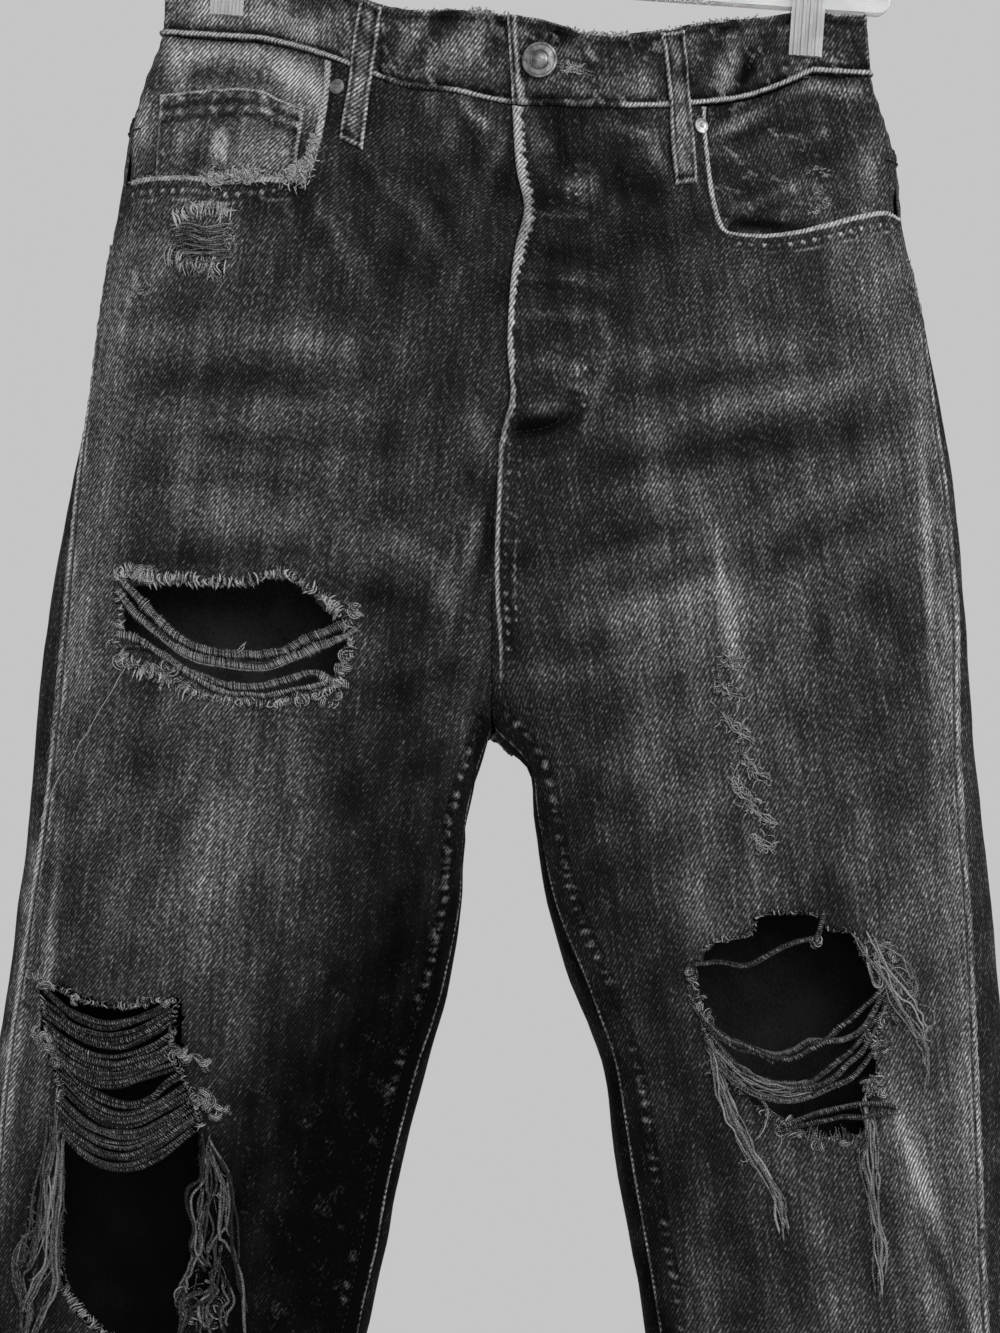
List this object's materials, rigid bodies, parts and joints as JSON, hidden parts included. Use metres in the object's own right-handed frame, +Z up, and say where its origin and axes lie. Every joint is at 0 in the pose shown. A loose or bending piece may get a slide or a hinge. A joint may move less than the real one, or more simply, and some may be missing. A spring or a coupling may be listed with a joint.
{
  "type": "ripped jeans on clip hanger",
  "caption": "High-rise button-fly jeans in washed black denim, worn through at one thigh and both knees, held flat by the waistband in a clear trouser clip hanger.",
  "frame": {"origin": "the inside top of the hanger's hook, where the rail touches it", "axes": "+Z up, -Y towards the front of the jeans, +X towards the wearer's left"},
  "size_m": [0.5766, 0.1069, 1.1264],
  "materials": {
    "front_right": "matte",
    "front_left": "matte",
    "back_right": "matte",
    "back_left": "matte",
    "yoke_right": "matte",
    "yoke_left": "matte",
    "waistband": "matte",
    "fly_placket": "matte",
    "pocket_facing_right": "matte",
    "pocket_facing_left": "matte",
    "coin_pocket": "matte",
    "back_pocket_right": "matte",
    "back_pocket_left": "matte",
    "hem_right": "matte",
    "hem_left": "matte",
    "belt_loop_front_right": "matte",
    "belt_loop_front_left": "matte",
    "belt_loop_back_right": "matte",
    "belt_loop_back_centre": "matte",
    "belt_loop_back_left": "matte",
    "thigh_threads_upper": "matte",
    "thigh_threads_lower": "matte",
    "right_knee_threads_1": "matte",
    "right_knee_threads_2": "matte",
    "right_knee_threads_3": "matte",
    "right_knee_threads_4": "matte",
    "right_knee_tassel_outer": "matte",
    "right_knee_tassel_inner": "matte",
    "right_knee_tassel_short": "matte",
    "left_knee_strand_top": "matte",
    "left_knee_threads_1": "matte",
    "left_knee_threads_2": "matte",
    "left_knee_threads_3": "matte",
    "left_knee_tassel_inner": "matte",
    "left_knee_tassel_outer": "matte",
    "left_knee_tassel_drop": "matte",
    "waist_button": "aged",
    "rivet_right": "satin",
    "rivet_left": "satin",
    "hanger_bar": "clear",
    "hook_collar": "clear",
    "hanger_hook": "polished",
    "clip_right_jaw_front": "clear",
    "clip_right_jaw_back": "clear",
    "clip_right_spring": "satin",
    "clip_left_jaw_front": "clear",
    "clip_left_jaw_back": "clear",
    "clip_left_spring": "satin"
  },
  "bodies": {
    "root": {"front_right": "front_right", "front_left": "front_left", "back_right": "back_right", "back_left": "back_left", "yoke_right": "yoke_right", "yoke_left": "yoke_left", "waistband": "waistband", "fly_placket": "fly_placket", "pocket_facing_right": "pocket_facing_right", "pocket_facing_left": "pocket_facing_left", "coin_pocket": "coin_pocket", "back_pocket_right": "back_pocket_right", "back_pocket_left": "back_pocket_left", "hem_right": "hem_right", "hem_left": "hem_left", "belt_loop_front_right": "belt_loop_front_right", "belt_loop_front_left": "belt_loop_front_left", "belt_loop_back_right": "belt_loop_back_right", "belt_loop_back_centre": "belt_loop_back_centre", "belt_loop_back_left": "belt_loop_back_left", "thigh_threads_upper": "thigh_threads_upper", "thigh_threads_lower": "thigh_threads_lower", "right_knee_threads_1": "right_knee_threads_1", "right_knee_threads_2": "right_knee_threads_2", "right_knee_threads_3": "right_knee_threads_3", "right_knee_threads_4": "right_knee_threads_4", "right_knee_tassel_outer": "right_knee_tassel_outer", "right_knee_tassel_inner": "right_knee_tassel_inner", "right_knee_tassel_short": "right_knee_tassel_short", "left_knee_strand_top": "left_knee_strand_top", "left_knee_threads_1": "left_knee_threads_1", "left_knee_threads_2": "left_knee_threads_2", "left_knee_threads_3": "left_knee_threads_3", "left_knee_tassel_inner": "left_knee_tassel_inner", "left_knee_tassel_outer": "left_knee_tassel_outer", "left_knee_tassel_drop": "left_knee_tassel_drop", "waist_button": "waist_button", "rivet_right": "rivet_right", "rivet_left": "rivet_left", "hanger_bar": "hanger_bar", "hook_collar": "hook_collar", "hanger_hook": "hanger_hook", "clip_right_jaw_front": "clip_right_jaw_front", "clip_right_jaw_back": "clip_right_jaw_back", "clip_right_spring": "clip_right_spring", "clip_left_jaw_front": "clip_left_jaw_front", "clip_left_jaw_back": "clip_left_jaw_back", "clip_left_spring": "clip_left_spring"}
  },
  "joints": []
}
